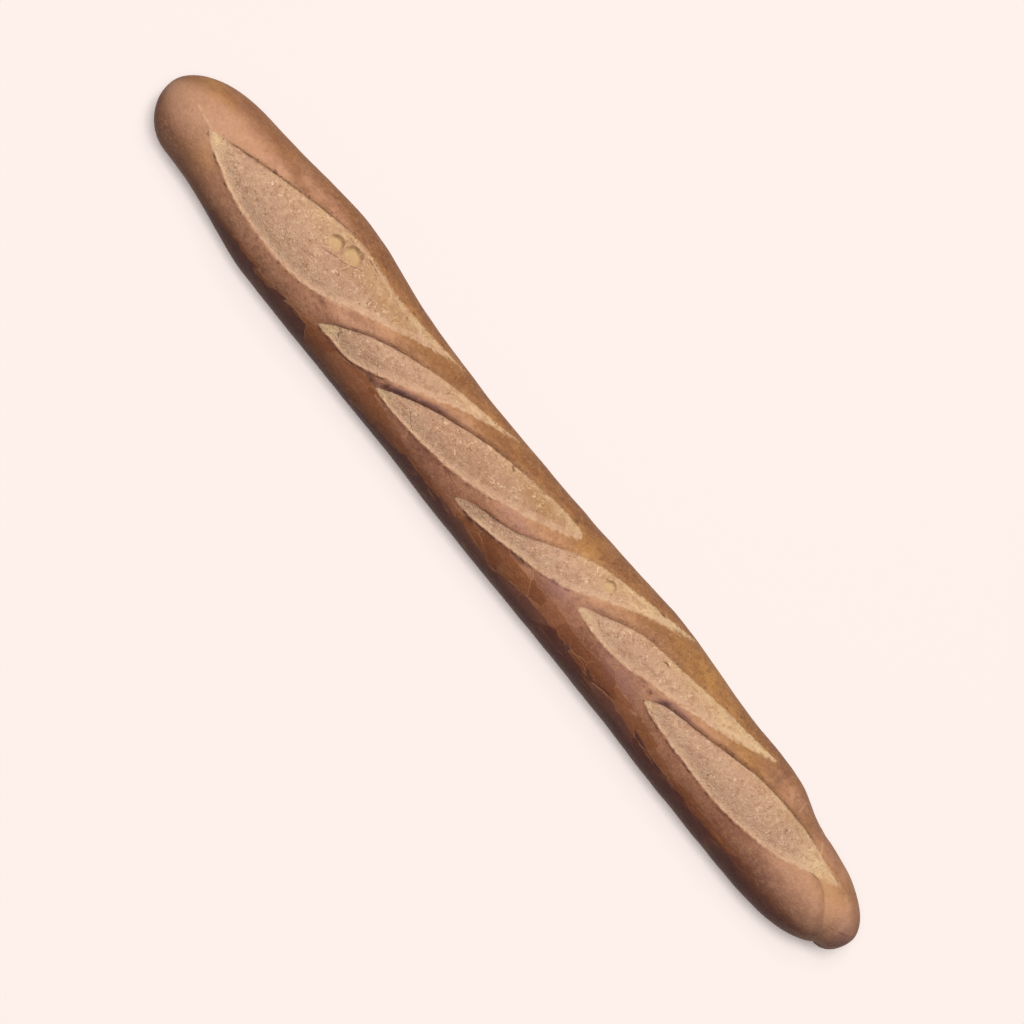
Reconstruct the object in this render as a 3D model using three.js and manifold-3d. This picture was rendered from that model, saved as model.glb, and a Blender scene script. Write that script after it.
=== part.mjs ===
// A baguette: one long, uneven loaf that lies on its flat underside. Six slanting scores on its
// crown opened in the oven, each with a raised ear on its right and a low lip on its left.
// Millimetres. +X runs along the loaf from its blunt end to its pointed end, +Y is its right side,
// +Z is up. The underside is at z = 0, below the middle of the loaf.
import * as THREE from "three";
import { mergeVertices } from "three/addons/utils/BufferGeometryUtils.js";
import Module from "manifold-3d";

const wasm = await Module();
wasm.setup();

// The roll: its length, the half-width on each side, and how the height follows the width
const LENGTH = 570;
const LEFT_HALF = 32.3;
const RIGHT_HALF = 28;
const CROWN_SHARE = 1.45; // crown height for each millimetre of half-width
const MID_SHARE = 0.42; // height of the widest line, as a share of the crown height
const UNDER_SHARE = 1.25; // round underside below the widest line, cut off flat at z = 0

// Swells: place along the loaf, how far each reaches, and what it adds to each side
const SWELLS = [
  { x: -165, reach: 45, left: 1.5, right: 6.5 },
  { x: 104, reach: 60, left: 0, right: 5.9 },
  { x: 188, reach: 26, left: 0, right: 3 },
];

// The blunt end: lengths of its rounding on each side and in height, and the thinner neck on its left
const BLUNT_LEFT_ROUND = 27;
const BLUNT_RIGHT_ROUND = 50;
const BLUNT_HEIGHT_ROUND = 36;
const NECK = { from: -255, to: -180, less: 6.8 };

// The pointed end: the left side thins towards it and ends in a lobe, the right side steps in, and a
// nub stands out
const SLIM = { from: 0, to: 120, less: 1.6 };
const POINT_RIGHT_ROUND = 50;
const POINT_HEIGHT_ROUND = 34;
const STEP_IN = { from: 205, to: 236, less: 5 };
const LOBE = { end: 277, round: 87, power: 2.8 };
const NUB = { half: 17, round: 12 };

// The scores. Across is measured square to the blade, which leaned towards the left side.
// Each score runs between two tips, and opened by these widths above and below the straight line
// between its tips, at five even steps. Its floor lies this deep under its right ear.
const BLADE_LEAN = THREE.MathUtils.degToRad(12);
const SCORES = [
  {
    tips: [[-255, 4.6], [-72, 29.8]],
    ear: 1.8,
    above: [4.8, 8, 11.6, 4.8, 1.1],
    below: [14.5, 24.2, 27.4, 20, 7.1],
  },
  {
    tips: [[-138, -14.9], [-25, 29.2]],
    ear: 2.4,
    above: [7.1, 11.2, 10.5, 7.8, 3.8],
    below: [6.8, 10.2, 4.5, 1.7, 0.5],
  },
  {
    tips: [[-93, -11.9], [36, 24.1]],
    ear: 3.2,
    above: [8, 11, 11.5, 10.8, 7.8],
    below: [7.1, 10.5, 12.1, 9.7, 7.3],
  },
  {
    tips: [[-24, -13.9], [113, 36.6]],
    ear: 2.4,
    above: [0.3, 0.4, 7, 6.5, 4.4],
    below: [7.5, 9.8, 9.7, 7.4, 0.8],
  },
  {
    tips: [[60, 0.6], [188, 31.1]],
    ear: 2.2,
    above: [7.6, 10, 8.3, 5.5, 3.3],
    below: [7.6, 11.1, 9, 6.4, 2.7],
  },
  {
    tips: [[120, -2.9], [258, 16.1]],
    ear: 2.8,
    above: [8, 8.6, 12.9, 11.8, 5.7],
    below: [6.8, 10.1, 13, 14.7, 6.3],
  },
];
const LIP_DEPTH = 1; // step down from the left lip into the score
const TIP_DEPTH = 0.5; // depth that is left at a score's tips
const EAR_UNDERCUT = 0.6; // how far the ear overhangs
const SCORE_TAPER = 0.14; // share of a score's length over which its depth runs out at each tip

// The fold at the pointed end, where the left lobe stands over the nub
const FOLD = {
  tips: [[246, 12.6], [274.5, -14.6]],
  above: [9, 13, 16, 17, 10],
  below: [-2, -5.2, -8, -9, -6],
};
const FOLD_DEPTH = 2.2;
const FOLD_RUNOUT = 0.6; // how far the fold's floor rises past the crust on its far side

// Burst bubbles in the floors of the scores: place, radius, and their bottom's depth under the crust
const PITS = [
  { x: -167, across: 18.1, radius: 5.5, bottom: 3.2 },
  { x: -155, across: 22.1, radius: 5.5, bottom: 3.5 },
  { x: 63, across: 21.1, radius: 4.5, bottom: 3.4 },
];

// Fineness of the mesh
const SIDES = 40;
const RINGS = 60;
const END_RINGS = 14;
const END_RING_LENGTH = 50;
const SCORE_STEPS = 26;
const SCORE_LANES = 4;
const PIT_SIDES = 14;
const PIT_RINGS = 8;
const CUT_CLEARANCE = 5; // how far a cut reaches above the crust
const GRAZING = 0.98; // share of the half-width past which the blade only grazes the flank
const SAME_POINT = 1e-3; // points closer than this are one

const CRUST_COLOUR = "#b5804f";
const CRUST_ROUGHNESS = 0.62;

const HALF_LENGTH = LENGTH / 2;
const { clamp, smoothstep, lerp } = THREE.MathUtils;

function swell(x, side) {
  return SWELLS.reduce((sum, s) => sum + s[side] * Math.exp(-(((x - s.x) / s.reach) ** 2)), 0);
}

function fullLeft(x) {
  const neck = NECK.less * (1 - smoothstep(x, NECK.from, NECK.to));
  const slim = SLIM.less * smoothstep(x, SLIM.from, SLIM.to);
  return LEFT_HALF - neck - slim + swell(x, "left");
}

function fullRight(x) {
  return RIGHT_HALF - STEP_IN.less * smoothstep(x, STEP_IN.from, STEP_IN.to) + swell(x, "right");
}

// Share of the full size that a rounded end leaves at a distance from its tip
function rounding(fromTip, length, power = 2) {
  const t = clamp(1 - fromTip / length, 0, 1);
  return (1 - t ** power) ** (1 / power);
}

function leftReach(x) {
  const lobe = fullLeft(x) * rounding(LOBE.end - x, LOBE.round, LOBE.power);
  const nub = NUB.half * rounding(HALF_LENGTH - x, NUB.round);
  return Math.max(lobe, nub) * rounding(HALF_LENGTH + x, BLUNT_LEFT_ROUND);
}

function rightReach(x) {
  const blunt = rounding(HALF_LENGTH + x, BLUNT_RIGHT_ROUND);
  return fullRight(x) * blunt * rounding(HALF_LENGTH - x, POINT_RIGHT_ROUND);
}

// The loaf's section at x: two half ellipses that meet at the widest line
function section(x) {
  const crown = (CROWN_SHARE * (fullLeft(x) + fullRight(x))) / 2;
  const mid = MID_SHARE * crown;
  const blunt = rounding(HALF_LENGTH + x, BLUNT_HEIGHT_ROUND);
  const ends = blunt * rounding(HALF_LENGTH - x, POINT_HEIGHT_ROUND);
  return {
    centre: (rightReach(x) - leftReach(x)) / 2,
    half: (rightReach(x) + leftReach(x)) / 2,
    mid,
    above: (crown - mid) * ends,
    below: UNDER_SHARE * mid * ends,
  };
}

// A point of the crust: the angle is 0 on the crown and grows towards the right side
function crustPoint(x, angle) {
  const s = section(x);
  const up = Math.cos(angle);
  const z = s.mid + (up > 0 ? s.above : s.below) * up;
  return new THREE.Vector3(x, s.centre + s.half * Math.sin(angle), Math.max(0, z));
}

// The crust as the blade meets it: its height along the blade at x and across
function crustHeight(x, across) {
  const s = section(x);
  const sin = Math.sin(BLADE_LEAN);
  const cos = Math.cos(BLADE_LEAN);
  const middle = s.centre * cos + s.mid * sin;
  const reach = Math.hypot(s.half * cos, s.above * sin);
  const lead = Math.atan2(s.above * sin, s.half * cos);
  const angle = Math.asin(clamp((across - middle) / reach, -GRAZING, GRAZING)) - lead;
  const point = crustPoint(x, angle);
  return point.z * cos - point.y * sin;
}

// From along, across and height along the blade to the loaf's own axes
function bladePoint(x, across, height) {
  return new THREE.Vector3(x, across, height).applyAxisAngle(new THREE.Vector3(1, 0, 0), BLADE_LEAN);
}

function solidFrom(geometry) {
  geometry.deleteAttribute("normal");
  geometry.deleteAttribute("uv");
  const merged = mergeVertices(geometry, SAME_POINT);
  return new wasm.Manifold(
    new wasm.Mesh({
      numProp: 3,
      vertProperties: merged.attributes.position.array,
      triVerts: new Uint32Array(merged.index.array),
    }),
  );
}

// Moves every point of a geometry to where place(point) puts it
function reshape(geometry, place) {
  const positions = geometry.attributes.position;
  const point = new THREE.Vector3();
  for (let i = 0; i < positions.count; i++) {
    point.fromBufferAttribute(positions, i);
    positions.setXYZ(i, ...place(point).toArray());
  }
  return geometry;
}

// The loaf before scoring: a capsule along X, drawn out to the crust
function plainLoaf() {
  const barrel = LENGTH - 2 * END_RING_LENGTH;
  const capsule = new THREE.CapsuleGeometry(END_RING_LENGTH, barrel, END_RINGS, SIDES, RINGS);
  capsule.rotateZ(-Math.PI / 2);
  return reshape(capsule, ({ x, y, z }) => {
    return crustPoint(clamp(x, -HALF_LENGTH, HALF_LENGTH), Math.atan2(y, z));
  });
}

// One edge of a cut as a smooth curve through its tips and the widths between them
function edgeOf(tips, widths, sign) {
  const offsets = [0, ...widths, 0];
  const last = offsets.length - 1;
  const points = offsets.map((offset, i) => {
    const x = lerp(tips[0][0], tips[1][0], i / last);
    const chord = lerp(tips[0][1], tips[1][1], i / last);
    return new THREE.Vector2(x, chord + sign * offset);
  });
  return new THREE.SplineCurve(points);
}

// A body that fills a cut: a block bent to the cut's two edges. Its floor lies under the crust by
// depthAt(along, side), and its wall on the right leans out by undercut.
function cutBody({ tips, above, below }, depthAt, undercut) {
  const right = edgeOf(tips, above, 1);
  const left = edgeOf(tips, below, -1);
  const block = new THREE.BoxGeometry(1, 1, 1, SCORE_STEPS, SCORE_LANES, 1);
  return reshape(block, (p) => {
    const along = clamp(p.x + 0.5, 0, 1);
    const side = p.y + 0.5;
    const spot = left.getPoint(along).lerp(right.getPoint(along), side);
    const crust = crustHeight(spot.x, spot.y);
    if (p.z > 0) return bladePoint(spot.x, spot.y, crust + CUT_CLEARANCE);
    const lean = undercut * side ** 4 * tipTaper(along);
    return bladePoint(spot.x, spot.y + lean, crust - depthAt(along, side));
  });
}

// 0 at a cut's tips, 1 over the rest of its length
function tipTaper(along) {
  return smoothstep(Math.min(along, 1 - along), 0, SCORE_TAPER);
}

function scoreDepth(ear, along, side) {
  return lerp(TIP_DEPTH, lerp(LIP_DEPTH, ear, side ** 2), tipTaper(along));
}

function foldDepth(along, side) {
  return lerp(FOLD_DEPTH, -FOLD_RUNOUT, side);
}

// The ball that leaves a burst bubble's round hollow
function pitBall({ x, across, radius, bottom }) {
  const ball = new THREE.SphereGeometry(radius, PIT_SIDES, PIT_RINGS);
  const centre = bladePoint(x, across, crustHeight(x, across) - bottom + radius);
  return ball.translate(centre.x, centre.y, centre.z);
}

function scoredLoaf() {
  const cuts = [
    ...SCORES.map((score) => {
      return cutBody(score, (along, side) => scoreDepth(score.ear, along, side), EAR_UNDERCUT);
    }),
    cutBody(FOLD, foldDepth, 0),
    ...PITS.map(pitBall),
  ];
  const loaf = cuts.reduce((left, cut) => left.subtract(solidFrom(cut)), solidFrom(plainLoaf()));
  const { vertProperties, triVerts } = loaf.getMesh();
  const geometry = new THREE.BufferGeometry();
  geometry.setAttribute("position", new THREE.BufferAttribute(vertProperties, 3));
  geometry.setIndex(new THREE.BufferAttribute(triVerts, 1));
  geometry.computeVertexNormals();
  return geometry;
}

const crust = new THREE.MeshStandardMaterial({
  color: CRUST_COLOUR,
  roughness: CRUST_ROUGHNESS,
  metalness: 0,
});
const loaf = new THREE.Mesh(scoredLoaf(), crust);
loaf.name = "loaf";

const baguette = new THREE.Group();
baguette.name = "baguette";
baguette.add(loaf);

export default baguette;
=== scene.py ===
# %% [markdown]
# A baguette, lying on its flat underside and seen almost from straight above.
# This lesson builds the loaf as one mesh, opens its six scores with a sharp ear on one side, and then
# mixes one baked-crust material that tells crust from crumb by values stored on the mesh.

# %% Load the frame
import math

import bmesh
import bpy
import numpy as np
from mathutils import Matrix, Vector, noise


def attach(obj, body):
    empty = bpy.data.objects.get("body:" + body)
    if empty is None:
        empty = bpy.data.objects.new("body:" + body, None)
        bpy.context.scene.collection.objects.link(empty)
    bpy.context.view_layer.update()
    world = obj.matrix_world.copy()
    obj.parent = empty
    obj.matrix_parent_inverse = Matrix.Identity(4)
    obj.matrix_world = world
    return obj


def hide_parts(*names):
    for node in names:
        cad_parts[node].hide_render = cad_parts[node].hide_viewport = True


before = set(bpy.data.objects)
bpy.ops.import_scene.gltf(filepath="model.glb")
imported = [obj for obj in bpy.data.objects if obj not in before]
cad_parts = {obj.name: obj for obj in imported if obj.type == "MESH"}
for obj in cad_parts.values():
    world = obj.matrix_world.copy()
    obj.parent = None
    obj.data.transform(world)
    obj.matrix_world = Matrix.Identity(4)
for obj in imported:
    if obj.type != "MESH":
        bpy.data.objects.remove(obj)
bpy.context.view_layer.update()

# %% [markdown]
# The roll. A baker shapes a baguette by rolling dough under both hands, so it is thick where a hand
# pressed less. The outline is a plain roll plus a few swells, with a rounded end at each side.
# Every size is in millimetres, and the mesh is scaled to metres once, when its points move.

# %% Sizes of the roll
MM = 0.001
LENGTH = 570.0
HALF_LENGTH = LENGTH / 2
LEFT_HALF = 32.3
RIGHT_HALF = 28.0
CROWN_SHARE = 1.45
MID_SHARE = 0.42
UNDER_SHARE = 1.25
SWELLS = (
    {"x": -165, "reach": 45, "left": 1.5, "right": 6.5},
    {"x": 104, "reach": 60, "left": 0.0, "right": 5.9},
    {"x": 193, "reach": 26, "left": 0.0, "right": 2.8},
    {"x": -52, "reach": 30, "left": 0.0, "right": -0.6},
    {"x": 8, "reach": 24, "left": 0.0, "right": 0.6},
)
BLUNT_LEFT_ROUND = 27.0
BLUNT_RIGHT_ROUND = 50.0
BLUNT_HEIGHT_ROUND = 36.0
NECK = {"from": -255, "to": -180, "less": 7.3}
POINT_RIGHT_ROUND = 50.0
POINT_HEIGHT_ROUND = 34.0
STEP_IN = {"from": 205, "to": 236, "less": 5.0}
SLIM = {"from": 0, "to": 120, "less": 1.1}
LOBE = {"end": 277, "round": 100, "power": 3.05}
NUB = {"half": 16.2, "round": 12}
STATIONS = 571


def smoothstep(value, low, high):
    t = np.clip((value - low) / (high - low), 0.0, 1.0)
    return t * t * (3.0 - 2.0 * t)


def swell(x, side):
    return sum(s[side] * np.exp(-(((x - s["x"]) / s["reach"]) ** 2)) for s in SWELLS)


def full_left(x):
    neck = NECK["less"] * (1.0 - smoothstep(x, NECK["from"], NECK["to"]))
    slim = SLIM["less"] * smoothstep(x, SLIM["from"], SLIM["to"])
    return LEFT_HALF - neck - slim + swell(x, "left")


def full_right(x):
    return RIGHT_HALF - STEP_IN["less"] * smoothstep(x, STEP_IN["from"], STEP_IN["to"]) + swell(x, "right")


def rounding(from_tip, length, power=2.0):
    t = np.clip(1.0 - from_tip / length, 0.0, 1.0)
    return (1.0 - t**power) ** (1.0 / power)


def left_reach(x):
    lobe = full_left(x) * rounding(LOBE["end"] - x, LOBE["round"], LOBE["power"])
    nub = NUB["half"] * rounding(HALF_LENGTH - x, NUB["round"])
    return np.maximum(lobe, nub) * rounding(HALF_LENGTH + x, BLUNT_LEFT_ROUND)


def right_reach(x):
    ends = rounding(HALF_LENGTH + x, BLUNT_RIGHT_ROUND) * rounding(HALF_LENGTH - x, POINT_RIGHT_ROUND)
    return full_right(x) * ends


def section(x):
    """Centre, half-width, height of the widest line, and the heights above and below that line."""
    crown = CROWN_SHARE * (full_left(x) + full_right(x)) / 2
    mid = MID_SHARE * crown
    ends = rounding(HALF_LENGTH + x, BLUNT_HEIGHT_ROUND) * rounding(HALF_LENGTH - x, POINT_HEIGHT_ROUND)
    centre = (right_reach(x) - left_reach(x)) / 2
    half = (right_reach(x) + left_reach(x)) / 2
    return centre, half, mid, (crown - mid) * ends, UNDER_SHARE * mid * ends


stations = np.linspace(-HALF_LENGTH, HALF_LENGTH, STATIONS)
print("widest, mm:", round(float((left_reach(stations) + right_reach(stations)).max()), 1))

# %% [markdown]
# The mesh starts as a UV sphere with its poles at the two ends. Each ring is moved to its place along
# the loaf, and each point round the ring to its angle on the section. Two habits of sculptors help
# here: the points crowd together on the crown, where the detail is, and the rings of points twist along
# the loaf, so that the edges of the mesh run nearly the same way as the scores.

# %% Roll the sphere out into a loaf
AROUND = 156
ALONG = 620
END_ROUND = 30.0
CROWDING = 0.35
TWIST = 0.0139

bm = bmesh.new()
bmesh.ops.create_uvsphere(bm, u_segments=AROUND, v_segments=ALONG, radius=1.0)
for face in bm.faces:
    face.smooth = True
loaf_mesh = bpy.data.meshes.new("baked_loaf")
bm.to_mesh(loaf_mesh)
bm.free()

ball = np.empty(len(loaf_mesh.vertices) * 3)
loaf_mesh.vertices.foreach_get("co", ball)
ball = ball.reshape(-1, 3)


def place_along(share):
    """Even steps along the loaf's skin, round its two ends too."""
    quarter = END_ROUND * math.pi / 2
    total = LENGTH - 2 * END_ROUND + 2 * quarter
    walked = share * total
    start = -HALF_LENGTH + END_ROUND * (1.0 - np.cos(np.clip(walked / END_ROUND, 0, math.pi / 2)))
    finish = HALF_LENGTH - END_ROUND * (1.0 - np.cos(np.clip((total - walked) / END_ROUND, 0, math.pi / 2)))
    middle = -HALF_LENGTH + END_ROUND + walked - quarter
    return np.where(walked < quarter, start, np.where(walked > total - quarter, finish, middle))


x = place_along(np.arccos(np.clip(-ball[:, 2], -1.0, 1.0)) / math.pi)
turn = np.arctan2(ball[:, 1], -ball[:, 0]) + TWIST * x
turn = (turn + math.pi) % (2 * math.pi) - math.pi
angle = turn - CROWDING * np.sin(turn)
degrees = np.degrees(angle)
centre, half, mid, above, below = section(x)
y = centre + half * np.sin(angle)
rise = np.where(np.cos(angle) > 0, above, below) * np.cos(angle)
normal = np.stack([np.zeros_like(x), np.sin(angle), np.cos(angle)], axis=1)
z = mid + rise
print("points:", len(x), "triangles:", 2 * AROUND * (ALONG - 1))

# %% [markdown]
# The scores. A baker's blade leans as it cuts, so across is measured square to the blade. Each score
# runs between two tips, and the oven opened it by different widths above and below the straight line
# between them. One smooth curve through those widths is the ear's edge, the other is the lip's edge. The
# widths stand closer together near the tips, where the edges turn most.

# %% Edges of the scores
BLADE_LEAN = math.radians(12)
SCORES = (
    {"tips": ((-252, 4.1), (-72, 30.0)),
     "above": (2.3, 7.7, 11.5, 3.1, 0.7), "below": (8.2, 20.3, 25.5, 12, 1.4)},
    {"tips": ((-138.5, -14.7), (-25, 29.2)),
     "above": (4.4, 9.7, 9.7, 5.9, 1.6), "below": (2.9, 8.6, 5.3, 0.6, -0.6)},
    {"tips": ((-94, -11.9), (34, 23.6)),
     "above": (3.9, 9.5, 11.8, 8.8, 5.2), "below": (3.2, 8.5, 12, 8.8, 4.3)},
    {"tips": ((-23.5, -14.4), (113, 36.6)),
     "above": (1.8, 0.8, 9, 6, 2.2), "below": (4.3, 8.6, 11.4, 3.4, 0.1)},
    {"tips": ((60.5, 0.3), (188, 30.9)),
     "above": (3.5, 9.5, 8, 4.9, 1.7), "below": (4.2, 9.3, 8.3, 5.8, 2)},
    {"tips": ((120, -3.1), (258, 16.1)),
     "above": (5.7, 8.9, 12.9, 10.3, 3), "below": (3.6, 8.5, 13.2, 11.1, 3.2)},
)
EDGE_SAMPLES = 240
WIDTH_SAMPLES = 60
STEEPEST = 1.2
LEFT_LIMIT = (-112, -104)
RIGHT_LIMIT = (86, 92)


def smooth_curve(values, t):
    """A curve that passes through evenly spaced values."""
    values = np.asarray(values, float)
    last = len(values) - 1
    place = np.clip(t, 0, 1) * last
    i = np.minimum(place.astype(int), last - 1)
    f = place - i
    p0, p1 = values[np.maximum(i - 1, 0)], values[i]
    p2, p3 = values[i + 1], values[np.minimum(i + 2, last)]
    v0, v1 = (p2 - p0) / 2, (p3 - p1) / 2
    return (2 * p1 - 2 * p2 + v0 + v1) * f**3 + (-3 * p1 + 3 * p2 - 2 * v0 - v1) * f**2 + v0 * f + p1


def edge_at(cut, side, x):
    """Across and slope of one edge of a cut at places along the loaf."""
    (x0, a0), (x1, a1) = cut["tips"]
    sign = 1.0 if side == "above" else -1.0
    even = np.linspace(0, 1, EDGE_SAMPLES)
    share = (1 - np.cos(math.pi * even)) / 2
    along = x0 + (x1 - x0) * share
    across = a0 + (a1 - a0) * share + sign * smooth_curve((0, *cut[side], 0), even)
    slope = np.clip(np.gradient(across, along), -STEEPEST, STEEPEST)
    return np.interp(x, along, across), np.interp(x, along, slope)


across = y * math.cos(BLADE_LEAN) + z * math.sin(BLADE_LEAN)
facing = smoothstep(degrees, *LEFT_LIMIT) * (1 - smoothstep(degrees, *RIGHT_LIMIT))
for number, score in enumerate(SCORES, 1):
    spots = np.linspace(score["tips"][0][0], score["tips"][1][0], WIDTH_SAMPLES)
    width = edge_at(score, "above", spots)[0] - edge_at(score, "below", spots)[0]
    print("score", number, "opens to", round(float(width.max()), 1), "mm")

# %% [markdown]
# Cutting and lifting. At each point of the skin we ask how far it lies inside each edge of each score.
# Inside, the crumb dips under the ear and a little along the lip, and bulges between them. Outside, the
# crust curls up into the ear, so that the strip between two scores is round like a rope. On the left
# flank the lip is a thin rim, further up it is a wide soft slope. A boolean would cut a like shape, but
# moving points keeps one even mesh. The edges get a small seeded wobble, as torn dough has.

# %% How each score opened
EARS = (
    {"rise": 0.9, "roll": 0.4, "line": 0.6, "line_at": (0.05, 0.09, 0.4, 0.55),
     "rim": (0.8, 0.2), "burnt": (0.05, 0.14, 0.8)},
    {"rise": 0.95, "roll": 1.8, "line": 0.6, "line_at": (0.0, 0.03, 0.35, 0.6),
     "rim": (0.6, 0.3), "burnt": (0.0, 0.45, 0.8)},
    {"rise": 1.6, "roll": 1.6, "line": 0.7, "line_at": (0.0, 0.03, 0.5, 0.8),
     "rim": (0.5, 0.3), "burnt": (0.0, 0.3, 0.4)},
    {"rise": 0.5, "roll": 1.4, "line": 0.3, "line_at": (0.05, 0.1, 0.3, 0.5),
     "rim": (0.6, 0.3), "burnt": (0.04, 0.5, 0.8)},
    {"rise": 0.9, "roll": 2.2, "line": 0.35, "line_at": (0.03, 0.1, 0.3, 0.6),
     "rim": (0.5, 0.3), "burnt": (0.02, 0.35, 0.5)},
    {"rise": 1.3, "roll": 1.8, "line": 0.7, "line_at": (0.0, 0.04, 0.7, 0.95),
     "rim": (0.5, 0.4), "burnt": (0.0, 0.6, 0.4)},
)
FLOOR_DEPTH = 0.45
LIP_DIP = 0.22
LIP_DIP_PLACE = 2.2
LIP_DIP_REACH = 2.8
LIP_RIM = 0.35
LIP_RIM_REACH = 1.4
LIP_OUT = 0.6
LIP_OUT_MORE = 1.6
LIP_IN = 1.4
LIP_IN_MORE = 1.4
LIP_SOFT_FROM = (-38, -12)
LIP_SLOWER = 1.5
EAR_DROP = 0.55
EAR_REACH = 4.5
EAR_FADE = (0.4, 0.85)
EAR_LEFT_OVER = 0.3
EAR_WALL = 0.7
EAR_FRAY = 0.5
EAR_OVERHANG = 0.2
OVERHANG_PLACE = 0.4
OVERHANG_REACH = 0.8
OVERHANG_OFF_LIP = 1
LIFT_END = (-0.4, 0.8)
FRAY_WIDTHS = (1, 7)
EDGE_MARGIN = 2
RIM_FADE = (0.12, 0.35)
BURNT_IN = 0.02
BURNT_OUT = 0.1
SCORE_TAPER = 0.14
TIP_RUNOUT = 6.0
CRUMB_EDGE = (-0.6, 1.0)
FAR = 30.0
TEARS = ((6.0, 0.4, 1), (2.4, 0.25, 2))


def wobble(points, size, seed):
    """Soft lumps of about this size, from -1 to 1, the same on every run."""
    shift = Vector((17.3 * seed, 5.1 * seed, 9.7 * seed))
    return np.array([noise.noise(Vector(p) / size + shift) for p in points])


def lumpy(points, layers):
    """Lumps of several sizes on top of each other, each with its own height and seed."""
    return sum(tall * wobble(points, size, seed) for size, tall, seed in layers)


def hump(distance, reach):
    return np.exp(-((distance / reach) ** 2))


skin = np.stack([x, y, z], axis=1)
torn = lumpy(skin, TEARS)
soft = smoothstep(degrees, *LIP_SOFT_FROM)
lip_out = LIP_OUT + LIP_OUT_MORE * soft
lip_in = LIP_IN + LIP_IN_MORE * soft
print("torn edges wander by, mm:", round(float(np.abs(torn).max()), 2))

# %% [markdown]
# One pass for each score adds its relief, and remembers for the material how far each point lies inside
# the score, and how far from the nearest ear and lip.

# %% Open the scores
height = np.zeros_like(x)
slide = np.zeros_like(x)
lift = np.zeros_like(x)
inside = np.full_like(x, -FAR)
ear = np.full_like(x, -FAR)
ear_scorch_and_shade = np.zeros_like(x)
lip = np.full_like(x, -FAR)
lip_rim_highlight = np.zeros_like(x)
lip_scorch_and_shade = np.zeros_like(x)
for score, shape in zip(SCORES, EARS):
    (x0, _), (x1, _) = score["tips"]
    top, top_slope = edge_at(score, "above", x)
    bottom, bottom_slope = edge_at(score, "below", x)
    frayed = torn * smoothstep(top - bottom, *FRAY_WIDTHS)
    within = facing * (x > x0) * (x < x1)
    in_ear = (top - across) / np.hypot(1, top_slope) + EAR_FRAY * frayed
    in_lip = (across - bottom) / np.hypot(1, bottom_slope) + frayed
    share = np.clip((x - x0) / (x1 - x0), 0, 1)
    taper = smoothstep(np.minimum(share, 1 - share), 0, SCORE_TAPER)
    fade = 1 - (1 - EAR_LEFT_OVER) * smoothstep(share, *EAR_FADE)
    ear_step = shape["rise"] * fade * taper
    bed = -EAR_DROP * ear_step * hump(in_ear, EAR_REACH)
    bed = bed - (LIP_DIP * hump(in_lip - LIP_DIP_PLACE, LIP_DIP_REACH) + FLOOR_DEPTH) * taper
    roll = shape["roll"]
    ear_rise = (1 - EAR_DROP) * ear_step * hump(np.minimum(in_ear + roll, 0), EAR_REACH) * (in_lip > 0)
    lip_rise = LIP_RIM * taper * (1 - soft) * hump(np.minimum(in_lip, 0), LIP_RIM_REACH) * (in_ear > 0)
    lift = np.maximum(lift, np.maximum(ear_rise, lip_rise) * within)
    slope = smoothstep(in_lip, -lip_out, lip_in)
    wall = smoothstep(in_ear, -roll, EAR_WALL)
    cut = wall * slope * within
    height = height * (1 - cut) + bed * cut
    lift = lift * (1 - wall * smoothstep(in_lip, *LIFT_END) * within)
    overhang = EAR_OVERHANG * ear_step * hump(in_ear + OVERHANG_PLACE, OVERHANG_REACH)
    slide = slide - overhang * within * (in_lip > OVERHANG_OFF_LIP)
    past_tip = np.maximum(np.maximum(x0 - x, x - x1), 0)
    close = (facing > 0) & (past_tip < TIP_RUNOUT)
    from_ear, from_lip = in_ear - past_tip, in_lip - past_tip
    deep_in = np.where(close, np.minimum(from_ear, from_lip / (1 + LIP_SLOWER * soft)), -FAR)
    inside = np.maximum(inside, deep_in)
    nearer = close & (np.abs(from_ear) < np.abs(ear)) & (from_lip > -EDGE_MARGIN)
    ear = np.where(nearer, from_ear, ear)
    # How strongly the dark line along the ear shows: partly scorch, partly painted shadow under the ear.
    start, full, fading, end = shape["line_at"]
    line = shape["line"] * smoothstep(share, start, full) * (1 - smoothstep(share, fading, end))
    ear_scorch_and_shade = np.where(nearer, line, ear_scorch_and_shade)
    nearer = close & (np.abs(from_lip) < np.abs(lip)) & (from_ear > -EDGE_MARGIN)
    lip = np.where(nearer, from_lip, lip)
    # How strongly the raised rim inside the lip gets its painted highlight.
    first, last = shape["rim"]
    lip_rim_highlight = np.where(nearer, first + (last - first) * smoothstep(share, *RIM_FADE), lip_rim_highlight)
    # How strongly the dark line outside the lip shows: partly scorch, partly painted shadow.
    start, end, strength = shape["burnt"]
    burnt = strength * smoothstep(share, start - BURNT_IN, start + BURNT_IN)
    burnt = burnt * (1 - smoothstep(share, end - BURNT_OUT, end))
    lip_scorch_and_shade = np.where(nearer, burnt, lip_scorch_and_shade)
height = height + lift
crumbly = smoothstep(inside, *CRUMB_EDGE)
print("deepest score, mm:", round(float(-height.min()), 2), "highest ear, mm:", round(float(height.max()), 2))
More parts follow.
